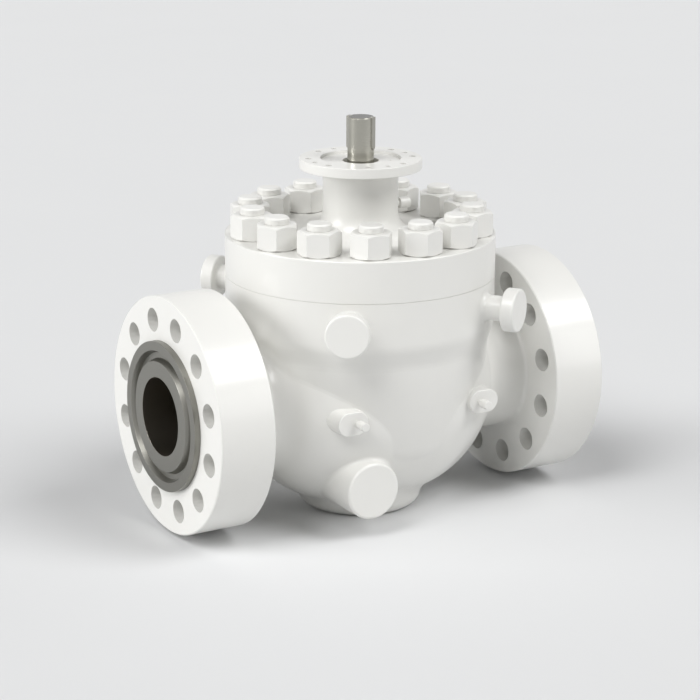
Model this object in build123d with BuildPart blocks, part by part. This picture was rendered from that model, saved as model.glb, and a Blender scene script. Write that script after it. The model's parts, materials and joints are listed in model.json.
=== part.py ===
from build123d import *
import math
import os

# Top entry trunnion ball valve, standing with its bore fully open.
# The origin is where the flow bore crosses the stem axis. +X runs along the bore, +Z up the stem.
# Lengths are millimetres and angles are degrees.

# Clearances
running_clearance = 0.05  # a journal in its bush, a seal in its bore
face_clearance = 0.3  # two pieces that stand beside each other
sleeve_clearance = 0.3  # seat rings in their pockets, the bonnet spigot in the body
shaft_clearance = 0.5  # the stem in the bonnet, above its bush
screw_clearance = 1.5  # studs through the bonnet
seal_side_gap = 1.0  # a sealing ring from each wall of its groove

# Flow bore and end flanges
end_to_end = 1292.0
bore_r = 111.5
flange_r = 337.5
flange_thickness = 165.1
flange_edge = 3.0
raised_face_r = 212.5
raised_face_height = 17.48
groove_pitch_r = 171.45
groove_width = 30.18
groove_depth = 17.48
groove_side_angle = 23.0
flange_bolt_circle_r = 269.875
flange_bolt_count = 12
flange_hole_r = 33.35
end_neck_wall = 76.0
end_neck_blend = 85.0
flange_root = 12.0

# Ball, its upper journal and its lower pocket
ball_r = 180.0
ball_bore_edge = 5.0
journal_r = 75.0
journal_height = 66.0
slot_length = 110.0
slot_width = 60.0
slot_depth = 90.0
vent_r = 4.0
ball_foot_height = 20.0  # cut off the ball below
lower_pocket_depth = 35.0

# Cavity and barrel
cavity_gap = 27.0
barrel_wall = 125.0
barrel_flat = 63.0
barrel_shoulder_r = 335.0
cavity_floor_gap = 20.0

# Lower trunnion
trunnion_disc_r = 95.0
trunnion_pin_gap = 5.0
trunnion_pin_r = 60.0
trunnion_spigot_depth = 90.0
thrust_washer_thickness = 5.0
bush_wall = 8.0
trunnion_dowel_r = 6.0
trunnion_dowel_circle_r = 79.0
trunnion_dowel_length = 40.0

# Stem
stem_r = 50.0
stem_end_r = 38.0
stem_collar_r = 70.0
stem_collar_height = 30.0
stem_collar_gap = 10.0
stem_chamfer = 3.0
stem_reach = 118.0  # above the mounting flange
drive_shoulder_depth = 30.0  # where the stem steps down, below the mounting flange
tang_clearance = 0.3
key_width = 20.0
key_height = 12.0
key_seat_depth = 9.5
key_length = 93.0
key_angle = -55.0
plunger_r = 4.0
plunger_length = 15.0
plunger_tip = 2.0
plunger_x = 27.0

# Bonnet
spigot_wall = 38.0  # from the cavity wall to the spigot's outside
spigot_depth = 57.2
bonnet_thickness = 118.5
bonnet_edge = 4.0
joint_bevel = 1.5
stem_seat_rise = 10.0
skirt_wall = 17.0
skirt_root = 6.0
skirt_gap = 20.0  # from the ball's crown to the skirt's lower edge
journal_bush_height = 32.0
stem_bush_height = 80.0
stem_bush_wall = 7.0
gasket_thickness = 5.0
gasket_inset = 5.0
gasket_edge_gap = 0.8
bonnet_seal_section_r = 3.5
bonnet_seal_drop = 28.5  # below the bonnet joint
bonnet_dowel_r = 8.0
bonnet_dowel_inset = 20.0
bonnet_dowel_length = 40.0

# Bonnet studs and nuts
stud_count = 14
stud_r = 35.0
stud_circle_gap = 75.0  # from the spigot to the stud circle
stud_edge_distance = 68.0
stud_engagement = 110.0
stud_overrun = 20.5
stud_point = 5.0
nut_across_flats = 108.0
nut_height = 69.5
nut_face_inset = 2.0
nut_bevel_angle = 30.0
nut_turn = -13.0  # the nearest corner, from straight outwards
tapping_runout = 3.5

# Bonnet neck, stuffing box and mounting flange
neck_r = 108.0
neck_flare = 60.0
neck_root = 8.0
neck_height = 213.0
mounting_flange_r = 175.0
mounting_flange_thickness = 28.5
mounting_flange_edge = 2.0
mounting_circle_r = 149.0
mounting_bolt_count = 8
mounting_thread_r = 10.0
mounting_dowel_count = 4
mounting_dowel_r = 8.0
mounting_dowel_depth = 18.0
box_r = 64.0
packing_ring_height = 11.0
packing_ring_count = 3
lantern_height = 24.0
lantern_port_count = 8
lantern_port_r = 3.0
lantern_waist = 4.0
lantern_lip = 5.0
stem_seal_section_r = 3.0
stem_seal_height = 50.0
stem_seal_pitch = 30.0

# Gland plate
gland_recess_r = 115.0
gland_recess_depth = 24.0
gland_thickness = 16.0
gland_edge = 1.0
gland_hole_gap = 1.5
gland_screw_r = 4.0
gland_screw_length = 35.0
gland_head_r = 6.5
gland_head_height = 8.0
gland_socket_across = 6.0
gland_socket_depth = 4.0
gland_screw_circle_r = 84.0
gland_screw_count = 6

# Stem sealant fitting, on the bonnet neck
stem_fitting_height = 68.0  # above the bonnet's disc
stem_nipple_r = 10.0
stem_nipple_length = 20.0
stem_head_r = 16.0
stem_head_length = 34.0

# Seats
seat_ring_wall = 46.5
seat_sleeve_wall = 23.5
seat_land = 10.0
seat_face_clearance = 1.5
seat_shoulder_gap = 33.0  # from the cavity wall to the seat ring's back
seat_travel = 2.0
spring_gap = 10.0
spring_thickness = 2.5
spring_edge_gap = 2.0
seat_sleeve_length = 92.0
seat_stop_gap = 1.0
insert_inset = 16.5
insert_width = 14.0
insert_depth = 34.0
seat_seal_section_r = 3.0
seat_seal_first = 45.0
seat_seal_pitch = 37.0
sealant_groove_width = 12.0
sealant_groove_depth = 3.0
seat_edge = 2.0

# Sealant fittings on the barrel
boss_r = 34.0
boss_outset = 140.0  # from the end of the barrel's straight middle to the fitting
boss_stretch = 27.0  # from the fitting to the centre of the boss's outer end
boss_inset = 2.0
boss_root = 3.0
boss_edge = 3.0
boss_length = 100.0
channel_r = 4.0
fitting_thread_r = 8.0
fitting_thread_length = 24.0
fitting_nipple_length = 12.0
fitting_head_r = 12.5
fitting_head_length = 31.0
fitting_edge = 2.0

# Body rim, bowl and hub
rim_depth = 133.5
rim_taper = 55.0
rim_step = 17.4
rim_blend = 90.0
bowl_foot_depth = 110.0  # below the bore axis
bowl_foot_inset = 9.7  # from the barrel's radius
bowl_bulge_r = 921.0
bowl_toe_drop = 60.0
bowl_toe_inset = 110.0
bowl_blend = 30.0
hub_r = 182.0
hub_drop = 20.0
hub_edge = 36.0
hub_blend = 45.0

# Blank drain boss, low on the front of the body
drain_r = 82.0
drain_x = -149.0
drain_z = -207.0
drain_inset = 2.0
drain_edge = 8.0
drain_length = 260.0
drain_root = 10.0

# Lifting lugs
lug_angles = (55.0, 125.0, 235.0, 305.0)
lug_drop = 64.0
lug_shaft_r = 36.0
lug_pad_height = 15.0
lug_pad_blend = 14.0
lug_disc_r = 62.0
lug_disc_thickness = 40.0
lug_disc_edge = 6.0
lug_root = 5.0
lug_reach = 102.0  # from the rim to the disc's outer face

# Places along the bore
half_length = end_to_end / 2
flange_front = half_length - raised_face_height
flange_back = flange_front - flange_thickness
end_neck_r = bore_r + end_neck_wall
cavity_r = ball_r + cavity_gap
barrel_r = cavity_r + barrel_wall
barrel_arc_r = barrel_r - barrel_shoulder_r
barrel_end_angle = math.degrees(math.asin((end_neck_r - barrel_arc_r) / barrel_shoulder_r))
barrel_end = barrel_flat + barrel_shoulder_r * math.cos(math.radians(barrel_end_angle))

seat_ring_r = bore_r + seat_ring_wall
seat_sleeve_r = bore_r + seat_sleeve_wall
seat_sphere_r = ball_r + seat_face_clearance
seat_front = math.sqrt(seat_sphere_r ** 2 - (seat_ring_r - seat_land) ** 2)
seat_shoulder = cavity_r + seat_shoulder_gap
seat_end = seat_shoulder + seat_sleeve_length
pocket_end = seat_shoulder + spring_gap
sleeve_bore_end = seat_end + seat_travel + seat_stop_gap
insert_r = bore_r + insert_inset
insert_end = seat_front + insert_depth
seat_seal_r = seat_sleeve_r + sleeve_clearance - running_clearance - seat_seal_section_r
seat_seal_places = (seat_shoulder + seat_seal_first, seat_shoulder + seat_seal_first + seat_seal_pitch)
sealant_x = seat_shoulder + seat_seal_first + seat_seal_pitch / 2
spring_inner_r = seat_sleeve_r + spring_edge_gap
spring_outer_r = seat_ring_r - spring_edge_gap
spring_stack = spring_gap / 2 - 2 * running_clearance
groove_floor_width = groove_width - 2 * groove_depth * math.tan(math.radians(groove_side_angle))

# Heights along the stem
ball_foot_z = -(ball_r - ball_foot_height)
cavity_floor_z = -(ball_r + cavity_floor_gap)
ball_washer_z = ball_foot_z - face_clearance - thrust_washer_thickness
trunnion_pin_top_z = ball_foot_z + lower_pocket_depth - trunnion_pin_gap
journal_top_z = ball_r + journal_height
slot_floor_z = journal_top_z - slot_depth
skirt_bottom_z = ball_r + skirt_gap
collar_bottom_z = journal_top_z + stem_collar_gap
collar_top_z = collar_bottom_z + stem_collar_height
stem_washer_z = collar_top_z + face_clearance
stem_seat_z = stem_washer_z + thrust_washer_thickness
spigot_bottom_z = stem_seat_z - stem_seat_rise
gasket_z = spigot_bottom_z - gasket_thickness
joint_z = spigot_bottom_z + spigot_depth
bonnet_top_z = joint_z + bonnet_thickness
mounting_z = bonnet_top_z + neck_height
mounting_under_z = mounting_z - mounting_flange_thickness
gland_seat_z = mounting_z - gland_recess_depth
gland_top_z = gland_seat_z + gland_thickness
fitting_z = bonnet_top_z + stem_fitting_height
lantern_z = fitting_z - lantern_height / 2
packing_height = packing_ring_height * packing_ring_count
box_floor_z = lantern_z - packing_height
upper_packing_z = lantern_z + lantern_height
gland_sleeve_z = upper_packing_z + packing_height
stem_bush_top_z = stem_seat_z + stem_bush_height
drive_shoulder_z = mounting_z - drive_shoulder_depth
stem_top_z = mounting_z + stem_reach
key_bottom_z = stem_top_z - key_length
tang_bottom_z = slot_floor_z + face_clearance
stem_seal_z = stem_bush_top_z + stem_seal_height
stem_seal_heights = (stem_seal_z, stem_seal_z + stem_seal_pitch)
gland_head_z = gland_top_z - gland_head_height
gland_screw_reach = gland_screw_length - (gland_head_z - gland_seat_z)
bonnet_seal_z = joint_z - bonnet_seal_drop

# Radii about the stem
skirt_r = journal_r + bush_wall
spigot_r = cavity_r + spigot_wall - sleeve_clearance
stud_circle_r = spigot_r + stud_circle_gap
bonnet_r = stud_circle_r + stud_edge_distance
bonnet_dowel_circle_r = spigot_r + bonnet_dowel_inset
stem_bore_r = stem_r + shaft_clearance
stem_bush_r = stem_r + stem_bush_wall
stem_seal_r = stem_bore_r - running_clearance - stem_seal_section_r
bonnet_seal_r = spigot_r + sleeve_clearance - running_clearance - bonnet_seal_section_r
ball_foot_r = math.sqrt(ball_r ** 2 - ball_foot_z ** 2)
key_floor_r = stem_end_r - key_seat_depth
key_angles = (key_angle, key_angle + 180)
nut_corner_r = nut_across_flats / math.sqrt(3)
nut_face_r = nut_across_flats / 2 - nut_face_inset
nut_bevel = (nut_corner_r - nut_face_r) * math.tan(math.radians(nut_bevel_angle))
trunnion_bush_r = trunnion_pin_r + bush_wall
gland_hole_r = stem_r + gland_hole_gap
rim_bottom_z = joint_z - rim_depth
bowl_top_z = rim_bottom_z - rim_taper
bowl_top_r = bonnet_r - rim_step
bowl_foot_z = -bowl_foot_depth
bowl_foot_r = barrel_r - bowl_foot_inset
hub_bottom_z = -(barrel_r + hub_drop)
drain_face_y = -(barrel_r - drain_inset)
boss_face_y = -(barrel_r - boss_inset)
boss_x = barrel_flat + boss_outset
channel_top_y = boss_face_y + fitting_thread_length + tapping_runout
channel_length = math.dist((boss_x, channel_top_y), (sealant_x, -seat_sleeve_r)) + channel_r
lug_z = joint_z - lug_drop
lug_pad_r = bonnet_r + lug_pad_height
lug_face_r = bonnet_r + lug_reach
stud_bottom_z = joint_z - stud_engagement
stud_top_z = bonnet_top_z + nut_height + stud_overrun

os.makedirs("parts", exist_ok=True)


def ring_face(inner_r, outer_r):
    """A flat ring in the sketch at hand."""
    Circle(outer_r)
    Circle(inner_r, mode=Mode.SUBTRACT)


def turned(*points):
    """The face inside a closed outline of straight runs, in the sketch at hand."""
    sweep = sum(a[0] * b[1] - b[0] * a[1] for a, b in zip(points, points[1:] + points[:1]))
    Polygon(*(points if sweep > 0 else points[::-1]), align=None)


def nearest(shapes, x, y, z=0.0):
    """The one vertex or edge of the list that lies nearest the point."""
    return shapes.sort_by_distance((x, y, z))[0]


def rim_round(part, centre):
    """The circular edge of the part that lies nearest the point."""
    return part.edges().filter_by(GeomType.CIRCLE).sort_by_distance(centre)[0]


def key_outline():
    """A key seen from outside, round at its lower end, in the sketch at hand."""
    with Locations((0, (key_bottom_z + key_width / 2 + stem_top_z) / 2)):
        Rectangle(key_width, key_length - key_width / 2)
    with Locations((0, key_bottom_z + key_width / 2)):
        Circle(key_width / 2)


def boss_plane(side):
    """The face of the sealant boss on that side, centred on its fitting, with X to its outer end."""
    return Plane(origin=(side * boss_x, boss_face_y, 0), x_dir=(side, 0, 0), z_dir=(0, -1, 0))


def channel_plane(side):
    """A plane at the foot of the boss's thread, facing down the channel to the seat ring."""
    top = Vector(side * boss_x, channel_top_y, 0)
    foot = Vector(side * sealant_x, -seat_sleeve_r, 0)
    return Plane(origin=top, z_dir=foot - top)


def lug_plane(angle):
    """A plane across the lug at that angle about the stem, through the stem axis."""
    return Plane(
        origin=(0, 0, lug_z),
        x_dir=(0, 0, 1),
        z_dir=(math.cos(math.radians(angle)), math.sin(math.radians(angle)), 0),
    )


def key_plane(angle):
    """A plane through the stem axis that faces the key at that angle, with its Y up the stem."""
    turn = math.radians(angle)
    return Plane(
        origin=(0, 0, 0),
        x_dir=(-math.sin(turn), math.cos(turn), 0),
        z_dir=(math.cos(turn), math.sin(turn), 0),
    )


sphere_turn = (0, 0, 90)  # the sphere's seam stays clear of the bore's ends

stud_places = PolarLocations(stud_circle_r, stud_count, start_angle=90.0)
bonnet_dowel_places = PolarLocations(bonnet_dowel_circle_r, 2)
trunnion_dowel_places = PolarLocations(trunnion_dowel_circle_r, 2)
mounting_bolt_places = PolarLocations(
    mounting_circle_r, mounting_bolt_count, start_angle=180.0 / mounting_bolt_count
)
mounting_dowel_places = PolarLocations(mounting_circle_r, mounting_dowel_count)
gland_screw_places = PolarLocations(
    gland_screw_circle_r, gland_screw_count, start_angle=180.0 / gland_screw_count
)
flange_bolt_places = PolarLocations(
    flange_bolt_circle_r, flange_bolt_count, start_angle=180.0 / flange_bolt_count
)

# Body: a barrel with a flange at each end, a bowl that rises from it to the rim, and a hub
with BuildPart() as body:
    with BuildSketch(Plane.XZ) as barrel_outline:
        with BuildLine():
            Polyline((0, 0), (0, barrel_r), (barrel_flat, barrel_r))
            CenterArc(
                (barrel_flat, barrel_arc_r), barrel_shoulder_r, barrel_end_angle, 90 - barrel_end_angle
            )
            Polyline(
                (barrel_end, end_neck_r),
                (flange_back, end_neck_r),
                (flange_back, flange_r),
                (flange_front, flange_r),
                (flange_front, raised_face_r),
                (half_length, raised_face_r),
                (half_length, 0),
                (0, 0),
            )
        make_face()
        fillet(nearest(barrel_outline.vertices(), barrel_end, end_neck_r), end_neck_blend)
        fillet(nearest(barrel_outline.vertices(), flange_back, end_neck_r), flange_root)
        chamfer(nearest(barrel_outline.vertices(), flange_back, flange_r), flange_edge)
        chamfer(nearest(barrel_outline.vertices(), flange_front, flange_r), flange_edge)
    revolve(axis=Axis.X)
    mirror(about=Plane.YZ)

    # Bowl and rim
    with BuildSketch(Plane.XZ) as bowl_outline:
        with BuildLine():
            Polyline(
                (bowl_top_r, bowl_top_z),
                (bonnet_r, rim_bottom_z),
                (bonnet_r, joint_z),
                (0, joint_z),
                (0, bowl_foot_z - bowl_toe_drop),
                (bowl_foot_r - bowl_toe_inset, bowl_foot_z - bowl_toe_drop),
            )
            bowl_side = RadiusArc((bowl_foot_r, bowl_foot_z), (bowl_top_r, bowl_top_z), -bowl_bulge_r)
            TangentArc(
                (bowl_foot_r, bowl_foot_z),
                (bowl_foot_r - bowl_toe_inset, bowl_foot_z - bowl_toe_drop),
                tangent=-(bowl_side % 0),
            )
        make_face()
        fillet(nearest(bowl_outline.vertices(), bowl_top_r, bowl_top_z), rim_blend)
        fillet(nearest(bowl_outline.vertices(), bonnet_r, rim_bottom_z), rim_blend)
    revolve(axis=Axis.Z)
    fillet(body.edges(Select.NEW), bowl_blend)

    # Hub, on which the valve stands
    with BuildSketch(Plane.XZ) as hub_outline:
        with Locations((0, hub_bottom_z)):
            Rectangle(hub_r, -hub_bottom_z - cavity_r, align=(Align.MIN, Align.MIN))
        fillet(nearest(hub_outline.vertices(), hub_r, hub_bottom_z), hub_edge)
    revolve(axis=Axis.Z)
    hub_ring = body.edges().filter_by(
        lambda edge: abs(math.hypot((edge @ 0.5).X, (edge @ 0.5).Y) - hub_r) < running_clearance
        and (edge @ 0.5).Z > hub_bottom_z + hub_edge + running_clearance
        and (edge @ 0.5).Z < 0
    )
    fillet(hub_ring, hub_blend)

    # Blank drain boss
    with BuildSketch(Plane.XZ.offset(-drain_face_y)):
        with Locations((drain_x, drain_z)):
            Circle(drain_r)
    extrude(amount=-drain_length)
    fillet(body.edges(Select.NEW), drain_root)
    fillet(rim_round(body, (drain_x, drain_face_y, drain_z)), drain_edge)

    # Sealant bosses
    for side in (-1, 1):
        with BuildSketch(boss_plane(side)):
            with Locations((boss_stretch / 2, 0)):
                SlotCenterToCenter(boss_stretch, 2 * boss_r)
        extrude(amount=-boss_length)
        fillet(body.edges(Select.NEW), boss_root)
        boss_rim = body.edges().filter_by_position(
            Axis.Y, boss_face_y - running_clearance, boss_face_y + running_clearance
        )
        fillet(boss_rim.sort_by_distance(boss_plane(side).origin)[:4], boss_edge)

    # Pads for the lifting lugs
    for angle in lug_angles:
        with BuildSketch(lug_plane(angle).offset(lug_pad_r)):
            Circle(lug_shaft_r)
        extrude(amount=-2 * lug_pad_height)
        fillet(body.edges(Select.NEW), lug_pad_blend)

    # Ring joint grooves, port and seat pockets at each end
    for side in (-1, 1):
        with BuildSketch(Plane.XZ):
            turned(
                (side * half_length, groove_pitch_r - groove_width / 2),
                (side * half_length, groove_pitch_r + groove_width / 2),
                (side * (half_length - groove_depth), groove_pitch_r + groove_floor_width / 2),
                (side * (half_length - groove_depth), groove_pitch_r - groove_floor_width / 2),
            )
            turned(
                (0, 0),
                (0, seat_ring_r + sleeve_clearance),
                (side * pocket_end, seat_ring_r + sleeve_clearance),
                (side * pocket_end, seat_sleeve_r + sleeve_clearance),
                (side * sleeve_bore_end, seat_sleeve_r + sleeve_clearance),
                (side * sleeve_bore_end, bore_r),
                (side * half_length, bore_r),
                (side * half_length, 0),
            )
        revolve(axis=Axis.X, mode=Mode.SUBTRACT)

    # Cavity, bonnet seat and the socket of the lower trunnion
    with BuildSketch(Plane.XZ):
        turned(
            (0, cavity_floor_z - trunnion_spigot_depth - face_clearance),
            (trunnion_pin_r + running_clearance, cavity_floor_z - trunnion_spigot_depth - face_clearance),
            (trunnion_pin_r + running_clearance, cavity_floor_z),
            (cavity_r, cavity_floor_z),
            (cavity_r, gasket_z),
            (spigot_r + sleeve_clearance, gasket_z),
            (spigot_r + sleeve_clearance, joint_z - joint_bevel),
            (spigot_r + sleeve_clearance + joint_bevel, joint_z),
            (0, joint_z),
        )
    revolve(axis=Axis.Z, mode=Mode.SUBTRACT)

    # Flange bolt holes
    for side in (-1, 1):
        with BuildSketch(Plane.YZ.offset(side * flange_back)):
            with flange_bolt_places:
                Circle(flange_hole_r)
        extrude(amount=side * flange_thickness, mode=Mode.SUBTRACT)

    # Tapped holes for the bonnet studs, and the dowel holes
    with BuildSketch(Plane.XY.offset(joint_z)):
        with stud_places:
            Circle(stud_r + running_clearance)
    extrude(amount=-(stud_engagement + tapping_runout), mode=Mode.SUBTRACT)
    with BuildSketch(Plane.XY.offset(joint_z)):
        with bonnet_dowel_places:
            Circle(bonnet_dowel_r + running_clearance)
    extrude(amount=-(bonnet_dowel_length / 2 + face_clearance), mode=Mode.SUBTRACT)
    with BuildSketch(Plane.XY.offset(cavity_floor_z)):
        with trunnion_dowel_places:
            Circle(trunnion_dowel_r + running_clearance)
    extrude(amount=-(trunnion_dowel_length / 2 + face_clearance), mode=Mode.SUBTRACT)

    # Thread and channel of each sealant boss
    for side in (-1, 1):
        with BuildSketch(boss_plane(side)):
            Circle(fitting_thread_r + running_clearance)
        extrude(amount=-(fitting_thread_length + tapping_runout), mode=Mode.SUBTRACT)
        with BuildSketch(channel_plane(side)):
            Circle(channel_r)
        extrude(amount=channel_length, mode=Mode.SUBTRACT)
body.part.label = "body"
export_step(body.part, "parts/body.step")

# Ball, with its upper journal, drive slot and vent
with BuildPart() as ball:
    Sphere(ball_r)
    with BuildSketch(Plane.XY):
        Circle(journal_r)
    extrude(amount=journal_top_z)
    with BuildSketch(Plane.XY.offset(ball_foot_z)):
        Circle(ball_r)
    extrude(amount=-2 * ball_foot_height, mode=Mode.SUBTRACT)
    with BuildSketch(Plane.YZ.offset(-ball_r)):
        Circle(bore_r)
    extrude(amount=2 * ball_r, mode=Mode.SUBTRACT)
    fillet(ball.edges(Select.NEW), ball_bore_edge)
    with BuildSketch(Plane.XY.offset(journal_top_z)):
        Rectangle(slot_length, slot_width)
    extrude(amount=-slot_depth, mode=Mode.SUBTRACT)
    with BuildSketch(Plane.XY.offset(ball_foot_z)):
        Circle(trunnion_bush_r + running_clearance)
    extrude(amount=lower_pocket_depth, mode=Mode.SUBTRACT)
    with BuildSketch(Plane.XY.offset(slot_floor_z)):
        Circle(vent_r)
    extrude(amount=-slot_floor_z, mode=Mode.SUBTRACT)
ball.part.label = "ball"
export_step(ball.part, "parts/ball.step")

# Lower trunnion: a disc on the cavity floor, with a pin above it and a spigot below
with BuildPart() as lower_trunnion:
    with BuildSketch(Plane.XZ):
        turned(
            (0, cavity_floor_z - trunnion_spigot_depth),
            (trunnion_pin_r, cavity_floor_z - trunnion_spigot_depth),
            (trunnion_pin_r, cavity_floor_z),
            (trunnion_disc_r, cavity_floor_z),
            (trunnion_disc_r, ball_washer_z),
            (trunnion_pin_r, ball_washer_z),
            (trunnion_pin_r, trunnion_pin_top_z),
            (0, trunnion_pin_top_z),
        )
    revolve(axis=Axis.Z)
    chamfer(lower_trunnion.edges().group_by(Axis.Z)[0], seat_edge)
    chamfer(lower_trunnion.edges().group_by(Axis.Z)[-1], seat_edge)
    with BuildSketch(Plane.XY.offset(cavity_floor_z)):
        with trunnion_dowel_places:
            Circle(trunnion_dowel_r + running_clearance)
    extrude(amount=trunnion_dowel_length / 2 + face_clearance, mode=Mode.SUBTRACT)
lower_trunnion.part.label = "lower_trunnion"
export_step(lower_trunnion.part, "parts/lower_trunnion.step")

with BuildPart() as trunnion_dowels:
    with BuildSketch(Plane.XY.offset(cavity_floor_z - trunnion_dowel_length / 2)):
        with trunnion_dowel_places:
            Circle(trunnion_dowel_r)
    extrude(amount=trunnion_dowel_length)
trunnion_dowels.part.label = "trunnion_dowels"
export_step(trunnion_dowels.part, "parts/trunnion_dowels.step")

# Bush pressed into the ball, running on the trunnion pin
with BuildPart() as trunnion_bush:
    with BuildSketch(Plane.XY.offset(ball_foot_z)):
        ring_face(trunnion_pin_r + running_clearance, trunnion_bush_r)
    extrude(amount=lower_pocket_depth - trunnion_pin_gap)
trunnion_bush.part.label = "trunnion_bush"
export_step(trunnion_bush.part, "parts/trunnion_bush.step")

# Washer that carries the ball's weight on the trunnion disc
with BuildPart() as ball_thrust_washer:
    with BuildSketch(Plane.XY.offset(ball_washer_z)):
        ring_face(trunnion_pin_r + face_clearance, ball_foot_r)
    extrude(amount=thrust_washer_thickness)
ball_thrust_washer.part.label = "ball_thrust_washer"
export_step(ball_thrust_washer.part, "parts/ball_thrust_washer.step")

# Bush in the bonnet's skirt, round the ball's journal
with BuildPart() as upper_journal_bush:
    with BuildSketch(Plane.XY.offset(skirt_bottom_z)):
        ring_face(journal_r + running_clearance, skirt_r - running_clearance)
    extrude(amount=journal_bush_height)
upper_journal_bush.part.label = "upper_journal_bush"
export_step(upper_journal_bush.part, "parts/upper_journal_bush.step")

# Bonnet: a disc with a spigot and a skirt below it, and a neck that ends in the mounting flange
with BuildPart() as bonnet:
    with BuildSketch(Plane.YZ) as bonnet_outline:
        turned(
            (skirt_r, skirt_bottom_z),
            (skirt_r + skirt_wall, skirt_bottom_z),
            (skirt_r + skirt_wall, spigot_bottom_z),
            (spigot_r, spigot_bottom_z),
            (spigot_r, joint_z),
            (bonnet_r, joint_z),
            (bonnet_r, bonnet_top_z),
            (neck_r, bonnet_top_z),
            (neck_r, mounting_under_z),
            (mounting_flange_r, mounting_under_z),
            (mounting_flange_r, mounting_z),
            (gland_recess_r, mounting_z),
            (gland_recess_r, gland_seat_z),
            (box_r, gland_seat_z),
            (box_r, box_floor_z),
            (stem_bore_r, box_floor_z),
            (stem_bore_r, stem_bush_top_z),
            (stem_bush_r, stem_bush_top_z),
            (stem_bush_r, stem_seat_z),
            (skirt_r, stem_seat_z),
        )
        fillet(nearest(bonnet_outline.vertices(), neck_r, bonnet_top_z), neck_flare)
        fillet(nearest(bonnet_outline.vertices(), neck_r, mounting_under_z), neck_root)
        fillet(nearest(bonnet_outline.vertices(), skirt_r + skirt_wall, spigot_bottom_z), skirt_root)
        fillet(nearest(bonnet_outline.vertices(), bonnet_r, bonnet_top_z), bonnet_edge)
        fillet(nearest(bonnet_outline.vertices(), mounting_flange_r, mounting_under_z), mounting_flange_edge)
        fillet(nearest(bonnet_outline.vertices(), mounting_flange_r, mounting_z), mounting_flange_edge)
        chamfer(nearest(bonnet_outline.vertices(), bonnet_r, joint_z), joint_bevel)
        with Locations((bonnet_seal_r, bonnet_seal_z)):
            Rectangle(
                2 * (bonnet_seal_section_r + running_clearance),
                2 * (bonnet_seal_section_r + seal_side_gap),
                mode=Mode.SUBTRACT,
            )
    revolve(axis=Axis.Z)

    # Clearance holes for the studs, and the dowel holes
    with BuildSketch(Plane.XY.offset(joint_z)):
        with stud_places:
            Circle(stud_r + screw_clearance)
    extrude(amount=bonnet_thickness, mode=Mode.SUBTRACT)
    with BuildSketch(Plane.XY.offset(joint_z)):
        with bonnet_dowel_places:
            Circle(bonnet_dowel_r + running_clearance)
    extrude(amount=bonnet_dowel_length / 2 + face_clearance, mode=Mode.SUBTRACT)

    # Mounting flange: threads through it and blind dowel holes between them
    with BuildSketch(Plane.XY.offset(mounting_z)):
        with mounting_bolt_places:
            Circle(mounting_thread_r)
    extrude(amount=-mounting_flange_thickness, mode=Mode.SUBTRACT)
    with BuildSketch(Plane.XY.offset(mounting_z)):
        with mounting_dowel_places:
            Circle(mounting_dowel_r)
    extrude(amount=-mounting_dowel_depth, mode=Mode.SUBTRACT)

    # Threads for the gland screws
    with BuildSketch(Plane.XY.offset(gland_seat_z)):
        with gland_screw_places:
            Circle(gland_screw_r + running_clearance)
    extrude(amount=-(gland_screw_reach + tapping_runout), mode=Mode.SUBTRACT)

    # Thread and channel of the stem's sealant fitting, level with the lantern ring
    with BuildSketch(Plane.YZ.offset(neck_r)):
        with Locations((0, fitting_z)):
            Circle(fitting_thread_r + running_clearance)
    extrude(amount=-(fitting_thread_length + tapping_runout), mode=Mode.SUBTRACT)
    with BuildSketch(Plane.YZ.offset(neck_r)):
        with Locations((0, fitting_z)):
            Circle(channel_r)
    extrude(amount=-(neck_r - stem_r), mode=Mode.SUBTRACT)
bonnet.part.label = "bonnet"
export_step(bonnet.part, "parts/bonnet.step")

with BuildPart() as bonnet_gasket:
    with BuildSketch(Plane.XY.offset(gasket_z)):
        ring_face(cavity_r + gasket_inset, spigot_r - gasket_edge_gap)
    extrude(amount=gasket_thickness)
bonnet_gasket.part.label = "bonnet_gasket"
export_step(bonnet_gasket.part, "parts/bonnet_gasket.step")

with BuildPart() as bonnet_o_ring:
    with BuildSketch(Plane.XZ):
        with Locations((bonnet_seal_r, bonnet_seal_z)):
            Circle(bonnet_seal_section_r)
    revolve(axis=Axis.Z)
bonnet_o_ring.part.label = "bonnet_o_ring"
export_step(bonnet_o_ring.part, "parts/bonnet_o_ring.step")

with BuildPart() as bonnet_dowels:
    with BuildSketch(Plane.XY.offset(joint_z - bonnet_dowel_length / 2)):
        with bonnet_dowel_places:
            Circle(bonnet_dowel_r)
    extrude(amount=bonnet_dowel_length)
bonnet_dowels.part.label = "bonnet_dowels"
export_step(bonnet_dowels.part, "parts/bonnet_dowels.step")

# Bonnet studs and their heavy hexagon nuts
with BuildPart() as bonnet_studs:
    with BuildSketch(Plane.XY.offset(stud_bottom_z)):
        with stud_places:
            Circle(stud_r)
    extrude(amount=stud_top_z - stud_bottom_z)
    chamfer(bonnet_studs.edges().group_by(Axis.Z)[-1], stud_point)
bonnet_studs.part.label = "bonnet_studs"
export_step(bonnet_studs.part, "parts/bonnet_studs.step")

with BuildPart() as bonnet_nut:
    with BuildSketch(Plane.XY.offset(bonnet_top_z)):
        RegularPolygon(nut_across_flats / 2, 6, major_radius=False, rotation=nut_turn)
        Circle(stud_r + running_clearance, mode=Mode.SUBTRACT)
    extrude(amount=nut_height)
    with BuildSketch(Plane.XZ):
        turned(
            (0, bonnet_top_z),
            (nut_face_r, bonnet_top_z),
            (nut_corner_r, bonnet_top_z + nut_bevel),
            (nut_corner_r, bonnet_top_z + nut_height - nut_bevel),
            (nut_face_r, bonnet_top_z + nut_height),
            (0, bonnet_top_z + nut_height),
        )
    revolve(axis=Axis.Z, mode=Mode.INTERSECT)

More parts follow.
